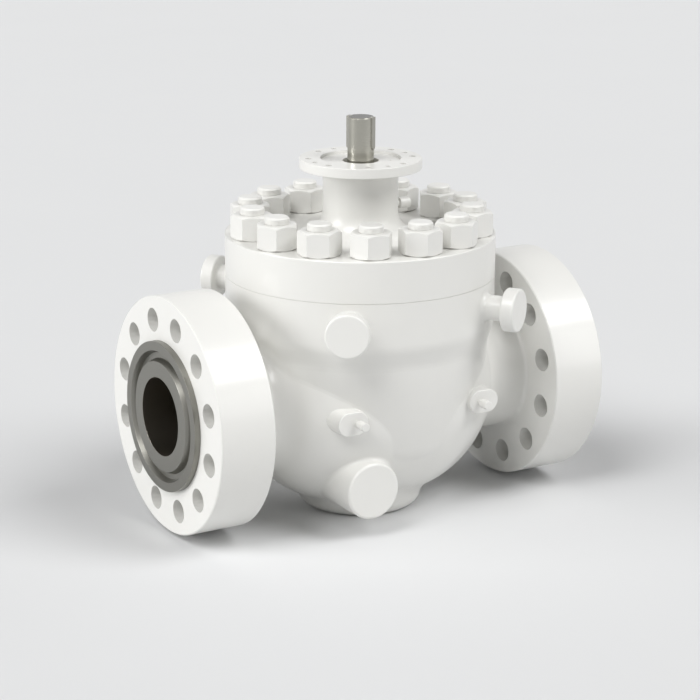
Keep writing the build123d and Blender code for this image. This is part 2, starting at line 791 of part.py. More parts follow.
with BuildPart() as bonnet_nuts:
    with stud_places:
        add(bonnet_nut.part)
bonnet_nuts.part.label = "bonnet_nuts"
export_step(bonnet_nuts.part, "parts/bonnet_nuts.step")

# Lifting lugs, each a round shaft with a disc on its end
with BuildPart() as lifting_lugs:
    for angle in lug_angles:
        with BuildSketch(lug_plane(angle).offset(lug_pad_r)):
            Circle(lug_shaft_r)
        extrude(amount=lug_face_r - lug_pad_r - lug_disc_thickness / 2)
        with BuildSketch(lug_plane(angle).offset(lug_face_r)):
            Circle(lug_disc_r)
        extrude(amount=-lug_disc_thickness)
        fillet(lifting_lugs.edges(Select.NEW), lug_root)
    disc_rims = lifting_lugs.edges().filter_by(
        lambda edge: edge.geom_type == GeomType.CIRCLE
        and abs(edge.radius - lug_disc_r) < running_clearance
    )
    fillet(disc_rims, lug_disc_edge)
lifting_lugs.part.label = "lifting_lugs"
export_step(lifting_lugs.part, "parts/lifting_lugs.step")

# Stem: a tang in the ball's slot, a collar under the bonnet and a keyed upper end
with BuildPart() as stem:
    with BuildSketch(Plane.XZ) as stem_outline:
        turned(
            (0, collar_bottom_z),
            (stem_collar_r, collar_bottom_z),
            (stem_collar_r, collar_top_z),
            (stem_r, collar_top_z),
            (stem_r, drive_shoulder_z),
            (stem_end_r, drive_shoulder_z),
            (stem_end_r, stem_top_z),
            (0, stem_top_z),
        )
        chamfer(nearest(stem_outline.vertices(), stem_end_r, stem_top_z), stem_chamfer)
        chamfer(nearest(stem_outline.vertices(), stem_r, drive_shoulder_z), stem_chamfer)
        for seal_z in stem_seal_heights:
            with Locations((stem_seal_r, seal_z)):
                Rectangle(
                    2 * (stem_seal_section_r + running_clearance),
                    2 * (stem_seal_section_r + seal_side_gap),
                    mode=Mode.SUBTRACT,
                )
    revolve(axis=Axis.Z)
    with BuildSketch(Plane.XY.offset(tang_bottom_z)):
        Rectangle(slot_length - 2 * tang_clearance, slot_width - 2 * tang_clearance)
    extrude(amount=collar_bottom_z - tang_bottom_z)
    for angle in key_angles:
        with BuildSketch(key_plane(angle).offset(key_floor_r)):
            key_outline()
        extrude(amount=key_height, mode=Mode.SUBTRACT)
    with BuildSketch(Plane.XY.offset(tang_bottom_z)):
        with Locations((plunger_x, 0)):
            Circle(plunger_r + running_clearance)
    extrude(amount=plunger_length + face_clearance, mode=Mode.SUBTRACT)
stem.part.label = "stem"
export_step(stem.part, "parts/stem.step")

with BuildPart() as stem_keys:
    for angle in key_angles:
        with BuildSketch(key_plane(angle).offset(key_floor_r)):
            key_outline()
        extrude(amount=key_height)
stem_keys.part.label = "stem_keys"
export_step(stem_keys.part, "parts/stem_keys.step")

# Plunger in the tang that keeps the stem and the ball in electrical contact
with BuildPart() as antistatic_plunger:
    with BuildSketch(Plane.XY.offset(slot_floor_z + running_clearance)):
        with Locations((plunger_x, 0)):
            Circle(plunger_r)
    extrude(amount=plunger_length)
    fillet(antistatic_plunger.edges().group_by(Axis.Z)[0], plunger_tip)
antistatic_plunger.part.label = "antistatic_plunger"
export_step(antistatic_plunger.part, "parts/antistatic_plunger.step")

with BuildPart() as stem_o_rings:
    with BuildSketch(Plane.XZ):
        for seal_z in stem_seal_heights:
            with Locations((stem_seal_r, seal_z)):
                Circle(stem_seal_section_r)
    revolve(axis=Axis.Z)
stem_o_rings.part.label = "stem_o_rings"
export_step(stem_o_rings.part, "parts/stem_o_rings.step")

with BuildPart() as stem_thrust_washer:
    with BuildSketch(Plane.XY.offset(stem_washer_z)):
        ring_face(stem_r + face_clearance, skirt_r - running_clearance)
    extrude(amount=thrust_washer_thickness)
stem_thrust_washer.part.label = "stem_thrust_washer"
export_step(stem_thrust_washer.part, "parts/stem_thrust_washer.step")

with BuildPart() as stem_bush:
    with BuildSketch(Plane.XY.offset(stem_seat_z)):
        ring_face(stem_r + running_clearance, stem_bush_r - running_clearance)
    extrude(amount=stem_bush_height)
stem_bush.part.label = "stem_bush"
export_step(stem_bush.part, "parts/stem_bush.step")

# Packing rings below and above the lantern ring
with BuildPart() as lower_packing:
    for ring in range(packing_ring_count):
        with BuildSketch(Plane.XY.offset(box_floor_z + ring * packing_ring_height)):
            ring_face(stem_r + running_clearance, box_r - running_clearance)
        extrude(amount=packing_ring_height - running_clearance)
lower_packing.part.label = "lower_packing"
export_step(lower_packing.part, "parts/lower_packing.step")

with BuildPart() as upper_packing:
    for ring in range(packing_ring_count):
        with BuildSketch(Plane.XY.offset(upper_packing_z + ring * packing_ring_height)):
            ring_face(stem_r + running_clearance, box_r - running_clearance)
        extrude(amount=packing_ring_height - running_clearance)
upper_packing.part.label = "upper_packing"
export_step(upper_packing.part, "parts/upper_packing.step")

with BuildPart() as lantern_ring:
    with BuildSketch(Plane.XZ):
        turned(
            (stem_r + running_clearance, lantern_z),
            (box_r - running_clearance, lantern_z),
            (box_r - running_clearance, lantern_z + lantern_lip),
            (box_r - lantern_waist, lantern_z + lantern_lip),
            (box_r - lantern_waist, lantern_z + lantern_height - lantern_lip),
            (box_r - running_clearance, lantern_z + lantern_height - lantern_lip),
            (box_r - running_clearance, lantern_z + lantern_height),
            (stem_r + running_clearance, lantern_z + lantern_height),
        )
    revolve(axis=Axis.Z)
    for port in range(lantern_port_count):
        with BuildSketch(Plane.YZ.rotated((0, 0, port * 360 / lantern_port_count))):
            with Locations((0, fitting_z)):
                Circle(lantern_port_r)
        extrude(amount=box_r, mode=Mode.SUBTRACT)
lantern_ring.part.label = "lantern_ring"
export_step(lantern_ring.part, "parts/lantern_ring.step")

# Gland plate, with the sleeve that holds the packing down
with BuildPart() as gland_plate:
    with BuildSketch(Plane.XZ) as gland_outline:
        turned(
            (gland_hole_r, gland_sleeve_z),
            (box_r - sleeve_clearance, gland_sleeve_z),
            (box_r - sleeve_clearance, gland_seat_z),
            (gland_recess_r - sleeve_clearance, gland_seat_z),
            (gland_recess_r - sleeve_clearance, gland_top_z),
            (gland_hole_r, gland_top_z),
        )
        chamfer(nearest(gland_outline.vertices(), gland_recess_r, gland_top_z), gland_edge)
    revolve(axis=Axis.Z)
    with BuildSketch(Plane.XY.offset(gland_top_z)):
        with gland_screw_places:
            Circle(gland_head_r + face_clearance)
    extrude(amount=-gland_head_height, mode=Mode.SUBTRACT)
    with BuildSketch(Plane.XY.offset(gland_top_z)):
        with gland_screw_places:
            Circle(gland_screw_r + face_clearance)
    extrude(amount=-gland_thickness, mode=Mode.SUBTRACT)
gland_plate.part.label = "gland_plate"
export_step(gland_plate.part, "parts/gland_plate.step")

with BuildPart() as gland_screws:
    with BuildSketch(Plane.XY.offset(gland_head_z)):
        with gland_screw_places:
            Circle(gland_head_r)
    extrude(amount=gland_head_height)
    with BuildSketch(Plane.XY.offset(gland_head_z)):
        with gland_screw_places:
            Circle(gland_screw_r)
    extrude(amount=-gland_screw_length)
    with BuildSketch(Plane.XY.offset(gland_head_z + gland_head_height)):
        with gland_screw_places:
            RegularPolygon(gland_socket_across / 2, 6, major_radius=False)
    extrude(amount=-gland_socket_depth, mode=Mode.SUBTRACT)
gland_screws.part.label = "gland_screws"
export_step(gland_screws.part, "parts/gland_screws.step")

# Sealant fittings of the seats: a thread in the boss, a thin nipple and a capped head
with BuildPart() as seat_fittings:
    for side in (-1, 1):
        with BuildSketch(boss_plane(side)):
            Circle(fitting_thread_r)
        extrude(amount=-fitting_thread_length)
        with BuildSketch(boss_plane(side)):
            Circle(fitting_thread_r)
        extrude(amount=fitting_nipple_length)
        with BuildSketch(boss_plane(side).offset(fitting_nipple_length)):
            Circle(fitting_head_r)
        extrude(amount=fitting_head_length)
        tip = boss_plane(side).offset(fitting_nipple_length + fitting_head_length).origin
        fillet(rim_round(seat_fittings, tip), fitting_edge)
seat_fittings.part.label = "seat_fittings"
export_step(seat_fittings.part, "parts/seat_fittings.step")

with BuildPart() as stem_fitting:
    with BuildSketch(Plane.XZ) as stem_fitting_outline:
        turned(
            (neck_r - fitting_thread_length, fitting_z),
            (neck_r - fitting_thread_length, fitting_z + fitting_thread_r),
            (neck_r, fitting_z + fitting_thread_r),
            (neck_r, fitting_z + stem_nipple_r),
            (neck_r + stem_nipple_length, fitting_z + stem_nipple_r),
            (neck_r + stem_nipple_length, fitting_z + stem_head_r),
            (neck_r + stem_nipple_length + stem_head_length, fitting_z + stem_head_r),
            (neck_r + stem_nipple_length + stem_head_length, fitting_z),
        )
        fillet(
            nearest(
                stem_fitting_outline.vertices(),
                neck_r + stem_nipple_length + stem_head_length,
                fitting_z + stem_head_r,
            ),
            fitting_edge,
        )
    revolve(axis=Axis((0, 0, fitting_z), (1, 0, 0)))
stem_fitting.part.label = "stem_fitting"
export_step(stem_fitting.part, "parts/stem_fitting.step")

# Seats: one ring each side of the ball, with its soft insert, seals and springs
for side, end in ((-1, "inlet"), (1, "outlet")):
    with BuildPart() as seat_ring:
        with BuildSketch(Plane.XZ) as seat_outline:
            turned(
                (side * seat_front, bore_r),
                (side * seat_front, seat_ring_r),
                (side * seat_shoulder, seat_ring_r),
                (side * seat_shoulder, seat_sleeve_r),
                (side * seat_end, seat_sleeve_r),
                (side * seat_end, bore_r),
            )
            chamfer(nearest(seat_outline.vertices(), side * seat_shoulder, seat_ring_r), seat_edge)
            chamfer(nearest(seat_outline.vertices(), side * seat_end, seat_sleeve_r), seat_edge)
            with Locations((side * (seat_front + insert_end) / 2, insert_r + insert_width / 2)):
                Rectangle(insert_end - seat_front, insert_width, mode=Mode.SUBTRACT)
            with Locations((side * sealant_x, seat_sleeve_r)):
                Rectangle(sealant_groove_width, 2 * sealant_groove_depth, mode=Mode.SUBTRACT)
            for seal_x in seat_seal_places:
                with Locations((side * seal_x, seat_seal_r)):
                    Rectangle(
                        2 * (seat_seal_section_r + seal_side_gap),
                        2 * (seat_seal_section_r + running_clearance),
                        mode=Mode.SUBTRACT,
                    )
        revolve(axis=Axis.X)
        Sphere(seat_sphere_r, rotation=sphere_turn, mode=Mode.SUBTRACT)
    seat_ring.part.label = f"{end}_seat_ring"
    export_step(seat_ring.part, f"parts/{end}_seat_ring.step")

    with BuildPart() as seat_insert:
        with BuildSketch(Plane.XZ):
            turned(
                (side * seat_front, insert_r + running_clearance),
                (side * seat_front, insert_r + insert_width - running_clearance),
                (side * insert_end, insert_r + insert_width - running_clearance),
                (side * insert_end, insert_r + running_clearance),
            )
        revolve(axis=Axis.X)
        Sphere(ball_r + face_clearance, rotation=sphere_turn, mode=Mode.SUBTRACT)
    seat_insert.part.label = f"{end}_seat_insert"
    export_step(seat_insert.part, f"parts/{end}_seat_insert.step")

    with BuildPart() as seat_o_rings:
        with BuildSketch(Plane.XZ):
            for seal_x in seat_seal_places:
                with Locations((side * seal_x, seat_seal_r)):
                    Circle(seat_seal_section_r)
        revolve(axis=Axis.X)
    seat_o_rings.part.label = f"{end}_seat_o_rings"
    export_step(seat_o_rings.part, f"parts/{end}_seat_o_rings.step")

    with BuildPart() as seat_springs:
        with BuildSketch(Plane.XZ):
            for start, turn in (
                (seat_shoulder + running_clearance, 1),
                (pocket_end - running_clearance, -1),
            ):
                turned(
                    (side * start, spring_inner_r),
                    (side * (start + turn * spring_thickness), spring_inner_r),
                    (side * (start + turn * spring_stack), spring_outer_r),
                    (side * (start + turn * (spring_stack - spring_thickness)), spring_outer_r),
                )
        revolve(axis=Axis.X)
    seat_springs.part.label = f"{end}_seat_springs"
    export_step(seat_springs.part, f"parts/{end}_seat_springs.step")
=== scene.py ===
"""Finishes, threaded studs, springs and studio of a top entry ball valve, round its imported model.

Every length is in metres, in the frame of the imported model: +X along the flow bore, +Z up the stem.
"""

import json
import math

import bpy
import numpy as np
from bpy.props import FloatProperty, FloatVectorProperty, IntProperty, PointerProperty
from mathutils import Matrix, Vector


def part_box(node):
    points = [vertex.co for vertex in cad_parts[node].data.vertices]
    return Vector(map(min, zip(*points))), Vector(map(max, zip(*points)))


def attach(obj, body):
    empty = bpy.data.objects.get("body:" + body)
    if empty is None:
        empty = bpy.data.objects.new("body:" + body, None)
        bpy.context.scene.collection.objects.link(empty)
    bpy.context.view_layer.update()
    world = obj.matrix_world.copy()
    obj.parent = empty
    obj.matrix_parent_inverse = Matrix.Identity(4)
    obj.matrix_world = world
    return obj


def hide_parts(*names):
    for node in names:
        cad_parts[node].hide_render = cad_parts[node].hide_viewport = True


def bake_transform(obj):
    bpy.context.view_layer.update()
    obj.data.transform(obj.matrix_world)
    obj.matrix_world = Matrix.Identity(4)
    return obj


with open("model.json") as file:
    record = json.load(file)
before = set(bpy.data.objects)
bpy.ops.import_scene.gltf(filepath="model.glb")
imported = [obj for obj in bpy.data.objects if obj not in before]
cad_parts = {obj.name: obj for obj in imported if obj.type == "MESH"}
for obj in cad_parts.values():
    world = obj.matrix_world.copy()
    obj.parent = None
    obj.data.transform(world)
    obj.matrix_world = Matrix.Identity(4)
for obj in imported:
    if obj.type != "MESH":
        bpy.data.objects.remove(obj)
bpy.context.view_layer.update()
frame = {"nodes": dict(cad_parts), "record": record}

bl_info = {
    "name": "Top entry ball valve",
    "version": (1, 0, 0),
    "blender": (4, 5, 0),
    "location": "3D View > Sidebar > Valve",
    "description": "Finishes, threaded studs, springs and studio of a top entry ball valve",
    "category": "Object",
}

MOUNTS = {mount["name"]: mount for mount in frame["record"]["mounts"]}

# Places on the valve that the finishes depend on
EDGE = 0.0004  # how far a mask reaches past the face that it covers
FLANGE_FRONT = MOUNTS["outlet_flange_bolts"]["pos_m"][0]
BORE_RADIUS = MOUNTS["flow_bore"]["dims"]["r_mm"] / 1000
RING_RADIUS = 0.2125  # rim of the flanges' raised faces
SEAT_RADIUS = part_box("inlet_seat_ring")[1].y
SEAT_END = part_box("outlet_seat_ring")[1].x
SEAT_ROOM = 0.004  # how far a seat pocket's mask reaches past the seat ring
CAVITY_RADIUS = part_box("bonnet_gasket")[1].x
PIN_HEIGHT = 0.07  # of the lower trunnion's pin, above the cavity's floor
CAVITY_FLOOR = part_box("lower_trunnion")[1].z - PIN_HEIGHT
JOINT_HEIGHT = (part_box("bonnet_dowels")[0].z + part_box("bonnet_dowels")[1].z) / 2
NUT_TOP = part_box("bonnet_nuts")[1].z
BOX_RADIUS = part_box("upper_packing")[1].x
STEM_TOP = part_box("stem")[1].z
FLOOR_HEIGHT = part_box("body")[0].z

# Marks that tools leave on metal
MARK_HEIGHT = 0.00002
MARK_LENGTH = 40.0  # beside the mark's width
CASTING_PITCH = 0.0011  # of the marks on the castings' machined faces
TURNED_PITCH = 0.0009  # of the marks on turned pieces
MARK_AND_REFLECTION_SHADE = 0.7  # how dark the castings' steel is in its tool marks: real marks, painted darker as reflection streaks
MARK_AND_REFLECTION_TINT = 0.5  # how far the marks take it there

# Sizes of the patches in which a finish varies
PAINT_PATCH = 0.22
PAINT_FLECK = 0.03
GLOSS_PATCH = 0.08
OIL_PATCH = 0.06
SEAL_PATCH = 0.02
FLOOR_PATCH = 0.8

# Paint
PATCH_SHARE = 0.7  # of the paint's tone, with the rest left to the flecks
EDGE_WEAR = 0.6  # how far the paint on an edge goes to its edge colour
EDGE_ROUGHNESS = 0.06  # added on edges
GLOSS_CHANGE = 0.12  # of the roughness, from patch to patch
COAT_ROUGHNESS = 0.12

# Metal
BARE_ROUGHNESS = 0.24  # of the castings' bare steel
BARE_SPREAD = 0.16  # added to it in the marks
MARK_SHARE = 0.4  # of a turned piece's tone, with the rest left to its film of oil
OIL_CHANGE = 0.08  # of the roughness, from patch to patch
TOP_PAINTED_SHADE = 0.22  # how dark a piece's top end is painted: a painted shade, for the dark reflection that it shows
POLISH_AND_HIGHLIGHT_SHADE = 1.25  # how bright an edge is painted: polish, and a painted highlight
EDGE_POLISH_AND_HIGHLIGHT = 0.7  # how far the metal on an edge goes to that

# Seals
GRAIN_CHANGE = 0.15  # of the roughness, over the grain
SEAL_EDGE = 0.0003  # radius of an edge

# Lamps: name, turn about the Z axis and height in degrees, and strength beside the key's
LAMPS = (
    ("key", 204, 50, 1.0),
    ("right_lamp", 309, 50, 0.97),
    ("left_lamp", 165, 15, 1.0),
    ("low_lamp", 309, 15, 0.27),
)
LAMP_SPREAD = 30  # degrees
FLOOR_REACH = 60.0
CLIP_END = 200.0
SENSOR_WIDTH = 36.0  # millimetres, as the lens


class Term:
    """A value in a finish's node tree, on which sums are written as on numbers."""

    def __init__(self, finish, socket):
        self.finish = finish
        self.socket = socket

    def maths(self, operation, *others):
        """A Math node with this value as its first."""
        return self.finish.maths(operation, self, *others)

    def __add__(self, other):
        return self.maths("ADD", other)

    def __sub__(self, other):
        return self.maths("SUBTRACT", other)

    def __mul__(self, other):
        return self.maths("MULTIPLY", other)

    def __rsub__(self, other):
        return self.finish.maths("SUBTRACT", other, self)

    __radd__ = __add__
    __rmul__ = __mul__


class Finish:
    """One material: its node tree, with the place on the surface ready as x, y and z."""

    def __init__(self, name):
        self.material = bpy.data.materials.new(name)
        self.material.use_nodes = True
        self.tree = self.material.node_tree
        self.shader = self.tree.nodes["Principled BSDF"]
        self.place = self.node("ShaderNodeTexCoord", output="Object")
        self.x, self.y, self.z = (
            self.node("ShaderNodeSeparateXYZ", inputs={0: self.place}, output=axis) for axis in "XYZ"
        )

    def fill(self, node, inputs):
        """Gives a node's sockets their values, or links them to the terms."""
        for name, value in inputs.items():
            if isinstance(value, Term):
                self.tree.links.new(value.socket, node.inputs[name])
            else:
                node.inputs[name].default_value = value

    def node(self, kind, settings=None, inputs=None, output=0):
        """Adds a node of any kind, with its settings made before its sockets are filled."""
        made = self.tree.nodes.new(kind)
        for name, value in (settings or {}).items():
            setattr(made, name, value)
        self.fill(made, inputs or {})
        return Term(self, made.outputs[output])

    def maths(self, operation, *terms):
        """A Math node on terms or numbers."""
        return self.node("ShaderNodeMath", {"operation": operation}, dict(enumerate(terms)))

    def mix(self, first, second, share):
        """A colour that goes from the first to the second as the share goes from 0 to 1."""
        colours = [value if isinstance(value, Term) else (*value, 1.0) for value in (first, second)]
        return self.node(
            "ShaderNodeMix", {"data_type": "RGBA"}, {0: share, 6: colours[0], 7: colours[1]}, output=2
        )

    def noise(self, size, detail=2.0, stretch=(1.0, 1.0, 1.0), place=None):
        """Noise between 0 and 1 whose features are about that size, drawn out along the stretched axes."""
        scale = [1 / (size * axis) for axis in stretch]
        squeezed = self.node("ShaderNodeMapping", inputs={"Vector": place or self.place, "Scale": scale})
        return self.node("ShaderNodeTexNoise", inputs={"Vector": squeezed, "Scale": 1.0, "Detail": detail})

    def step(self, value, low, high):
        """0 below the low value, 1 above the high one, and smooth between them."""
        return self.node(
            "ShaderNodeMapRange",
            {"interpolation_type": "SMOOTHSTEP"},
            {"Value": value, "From Min": low, "From Max": high},
        )

    def below(self, value, limit):
        """1 where the value is less than the limit, otherwise 0."""
        return self.maths("LESS_THAN", value, limit)

    def round_x(self):
        """Distance from the flow bore's axis."""
        return (self.y * self.y + self.z * self.z).maths("SQRT")

    def round_z(self):
        """Distance from the stem's axis."""
        return (self.x * self.x + self.y * self.y).maths("SQRT")

    def rounded(self, radius):
        """The normal with edges rounded to the radius, and a mask that is 1 on the edges themselves.

        The mask rises with the angle between the rounded normal and the plain one."""
        normal = self.node("ShaderNodeBevel", {"samples": 4}, {"Radius": radius})
        flat = self.node("ShaderNodeNewGeometry", output="Normal")
        bend = self.node(
            "ShaderNodeVectorMath", {"operation": "DOT_PRODUCT"}, {0: normal, 1: flat}, output="Value"
        )
        return normal, self.step(1 - bend, low=0.01, high=0.2)

    def bump(self, height, distance, normal):
        """The normal with the height's relief on it."""
        inputs = {"Height": height, "Distance": distance, "Strength": 1.0, "Normal": normal}
        return self.node("ShaderNodeBump", inputs=inputs)

    def finish(self, **inputs):
        """Fills the shader's sockets, named with underscores for spaces, and returns the material."""
        self.fill(self.shader, {name.replace("_", " "): value for name, value in inputs.items()})
        return self.material


def shade(colour, factor):
    """The colour made lighter or darker by a factor."""
    return [channel * factor for channel in colour]


def dress(material, *nodes):
    """Gives the material to the CAD nodes of those names."""
    for name in nodes:
        for material_slot in frame["nodes"][name].material_slots:
            material_slot.material = material


def metal_relief(finish, place, pitch):
    """Fine tool marks: noise drawn out along the tool's path, which the place's first axis crosses."""
    return finish.noise(pitch, 3.0, (1.0, MARK_LENGTH, MARK_LENGTH), place)


def turned_place(finish, about_x):
    """Coordinates for marks left on a lathe: the sum of radius and length, so the marks run round."""
    radius = finish.round_x() if about_x else finish.round_z()
    length = finish.x if about_x else finish.z
    return finish.node("ShaderNodeCombineXYZ", inputs={0: radius + length, 1: 0.0, 2: 0.0})


class PaintSettings(bpy.types.PropertyGroup):
    """The valve's paint."""

    colour: FloatVectorProperty(
        name="Colour", description="Colour of the paint", default=(0.80, 0.795, 0.765),
        size=3, subtype="COLOR",
    )
    variation: FloatProperty(
        name="Variation", description="How much darker the paint gets in places", default=0.035,
        subtype="FACTOR",
    )
    roughness: FloatProperty(
        name="Roughness", description="Roughness of the paint", default=0.34, subtype="FACTOR"
    )
    coat: FloatProperty(
        name="Gloss coat", description="Weight of the gloss layer", default=0.35, subtype="FACTOR"
    )
    peel_size: FloatProperty(
        name="Orange peel", description="Size of the sprayed paint's ripples", default=0.006, unit="LENGTH"
    )
    peel_height: FloatProperty(
        name="Peel height", description="Height of the ripples", default=0.00003, unit="LENGTH"
    )
    cast_size: FloatProperty(
        name="Cast relief", description="Size of the casting's waves", default=0.045, unit="LENGTH"
    )
    cast_height: FloatProperty(
        name="Cast height", description="Height of the casting's waves", default=0.00035, unit="LENGTH"
    )
    edge_colour: FloatVectorProperty(
        name="Edge colour", description="Colour of the paint where it thins on edges",
        default=(0.83, 0.82, 0.775), size=3, subtype="COLOR",
    )
    edge_radius: FloatProperty(
        name="Painted edge", description="Radius of a painted edge", default=0.0014, unit="LENGTH"
    )


class SteelSettings(bpy.types.PropertyGroup):
    """The bare metals."""

    face: FloatVectorProperty(
        name="Ring face", description="Machined steel of the flange faces", default=(0.275, 0.27, 0.245),
        size=3, subtype="COLOR",
    )
    # Lighter than the ring face's steel of the same kind: painted light, for the light thrown about inside
    # the bore
    bore: FloatVectorProperty(
        name="Bore", description="Machined steel inside the bore", default=(0.36, 0.325, 0.27),
        size=3, subtype="COLOR",
    )
    stem: FloatVectorProperty(
        name="Stem", description="Ground steel of the stem", default=(0.46, 0.45, 0.40),
        size=3, subtype="COLOR",
    )
    plating: FloatVectorProperty(
        name="Plating", description="Plated surface of the ball", default=(0.62, 0.62, 0.63),
        size=3, subtype="COLOR",
    )
    bronze: FloatVectorProperty(
        name="Bronze", description="Bearing bronze", default=(0.50, 0.31, 0.12), size=3, subtype="COLOR"
    )


class SealSettings(bpy.types.PropertyGroup):
    """The seals."""

    polymer: FloatVectorProperty(
        name="Polymer", description="Inserts of the seat rings", default=(0.52, 0.47, 0.36),
        size=3, subtype="COLOR",
    )
    rubber: FloatVectorProperty(
        name="Rubber", description="O-rings", default=(0.022, 0.022, 0.022), size=3, subtype="COLOR"
    )
    graphite: FloatVectorProperty(
        name="Graphite", description="The stem's packing", default=(0.07, 0.07, 0.075),
        size=3, subtype="COLOR",
    )
    windings: FloatVectorProperty(
        name="Windings", description="The bonnet gasket's windings", default=(0.30, 0.30, 0.31),
        size=3, subtype="COLOR",
    )


class StudSettings(bpy.types.PropertyGroup):
    """The bonnet studs."""

    count: IntProperty(name="Studs", description="Number of bonnet studs", default=14)
    radius: FloatProperty(
        name="Radius", description="Outer radius of the thread", default=0.035, unit="LENGTH"
    )
    pitch: FloatProperty(name="Pitch", description="Pitch of the thread", default=0.003175, unit="LENGTH")
    depth: FloatProperty(
        name="Depth", description="Depth of the painted thread", default=0.0012, unit="LENGTH"
    )
    point: FloatProperty(name="Point", description="Bevel on the stud's end", default=0.005, unit="LENGTH")
    segments: IntProperty(name="Segments", description="Faces round one stud", default=72)
    steps: IntProperty(name="Steps", description="Rows of faces in one pitch", default=8)
    steepness: FloatProperty(
        name="Steepness", description="Slope of the thread's sides, where 1 leaves sharp crests", default=1.5
    )


class SpringSettings(bpy.types.PropertyGroup):
    """The disc springs behind the seat rings."""

    inner: FloatProperty(
        name="Inner radius", description="Radius of a disc's hole", default=0.137, unit="LENGTH"
    )
    thickness: FloatProperty(
        name="Thickness", description="Thickness of a disc", default=0.0025, unit="LENGTH"
    )
    gap: FloatProperty(
        name="Gap", description="From one disc's rim to the other's", default=0.0001, unit="LENGTH"
    )
    rows: IntProperty(name="Rows", description="Points along a disc's flank", default=8)
    segments: IntProperty(name="Segments", description="Faces round a disc", default=128)


class StageSettings(bpy.types.PropertyGroup):
    """Camera, lamps and floor."""

    camera_place: FloatVectorProperty(
        name="Camera", description="Where the camera stands", default=(-3.275, -5.433, 1.899),
        subtype="TRANSLATION",
    )
    yaw: FloatProperty(
        name="Yaw", description="Camera's turn to the right of +Y", default=math.radians(30.83),
        subtype="ANGLE",
    )
    pitch: FloatProperty(
        name="Pitch", description="Camera's look down", default=math.radians(15.82), subtype="ANGLE"
    )
    roll: FloatProperty(
        name="Roll", description="Camera's roll", default=math.radians(0.257), subtype="ANGLE"
    )
    lens: FloatProperty(name="Lens", description="Focal length in millimetres", default=116.68)
    key: FloatProperty(name="Key", description="Strength of the key lamp", default=1.57)
    fill: FloatProperty(name="Fill", description="Strength of the room's light", default=0.12)
    backdrop: FloatProperty(
        name="Backdrop", description="Strength of the room as the camera and the gloss see it", default=0.8
    )
    floor: FloatVectorProperty(
        name="Floor", description="Colour of the floor", default=(0.73, 0.735, 0.74), size=3, subtype="COLOR"
    )


def painted(name, settings, cast, bare=None, steel=None):
    """Sprayed off-white paint: ripples of the spray, and on castings the waves of the mould below them.

    Where the bare mask is 1, the surface is turned steel instead. Bare gives the mask, the steel's colour and
    its tool marks."""
    finish = Finish(name)
    tone = finish.noise(PAINT_PATCH, 3.0) * PATCH_SHARE + finish.noise(PAINT_FLECK, 2.0) * (1 - PATCH_SHARE)
    colour = finish.mix(shade(settings.colour, 1 - settings.variation), settings.colour, tone)
    normal, edges = finish.rounded(settings.edge_radius)
    colour = finish.mix(colour, settings.edge_colour, edges * EDGE_WEAR)
    gloss = (finish.noise(GLOSS_PATCH, 2.0) - 0.5) * GLOSS_CHANGE
    roughness = settings.roughness + gloss + edges * EDGE_ROUGHNESS
    height = finish.noise(settings.peel_size, 1.0) * settings.peel_height
    if cast:
        height = height + finish.noise(settings.cast_size, 1.0) * settings.cast_height
    if bare is None:
        return finish.finish(
            Base_Color=colour,
            Roughness=roughness,
            Coat_Weight=settings.coat,
            Coat_Roughness=COAT_ROUGHNESS,
            Normal=finish.bump(height, 1.0, normal),
        )
    mask, metal, marks = bare(finish, steel)
    paint = 1 - mask
    return finish.finish(
        Base_Color=finish.mix(colour, metal, mask),
        Metallic=mask,
        Roughness=roughness * paint + (marks * BARE_SPREAD + BARE_ROUGHNESS) * mask,
        Coat_Weight=paint * settings.coat,
        Coat_Roughness=COAT_ROUGHNESS,
        Normal=finish.bump(height * paint + marks * mask * MARK_HEIGHT, 1.0, normal),
    )


def body_bare(finish, steel):
    """The body's bare steel: ring faces, bore, seat pockets and cavity down to its floor."""
    round_x = finish.round_x()
    round_z = finish.round_z()
    along = finish.x.maths("ABSOLUTE")
    ring_face = finish.below(round_x, RING_RADIUS + EDGE) * finish.below(FLANGE_FRONT - EDGE, along)
    pocket = finish.below(round_x, SEAT_RADIUS + 2 * EDGE) * finish.below(along, SEAT_END + SEAT_ROOM)
    bore = finish.below(round_x, BORE_RADIUS + EDGE)
    cavity = finish.below(round_z, CAVITY_RADIUS + EDGE) * finish.below(CAVITY_FLOOR - EDGE, finish.z)
    mask = ring_face.maths("MAXIMUM", pocket).maths("MAXIMUM", bore).maths("MAXIMUM", cavity)
    marks = metal_relief(finish, turned_place(finish, True), CASTING_PITCH)
    # the bore's steel is lighter than the faces': painted light inside the bore
    metal = finish.mix(steel.face, steel.bore, bore)
    # darker along the tool marks: painted reflection streaks on real marks
    return mask, finish.mix(metal, shade(steel.face, MARK_AND_REFLECTION_SHADE), marks * MARK_AND_REFLECTION_TINT), marks


def bonnet_bare(finish, steel):
    """The bonnet's bare steel: everything below the joint inside the spigot, and the stem's bore."""
    round_z = finish.round_z()
    below = finish.below(round_z, CAVITY_RADIUS + EDGE) * finish.below(finish.z, JOINT_HEIGHT + EDGE)
    stem_bore = finish.below(round_z, BOX_RADIUS + EDGE)
    mask = below.maths("MAXIMUM", stem_bore)
    marks = metal_relief(finish, turned_place(finish, False), CASTING_PITCH)
    # darker along the tool marks: painted reflection streaks on real marks
    return mask, finish.mix(steel.face, shade(steel.face, MARK_AND_REFLECTION_SHADE), marks * MARK_AND_REFLECTION_TINT), marks


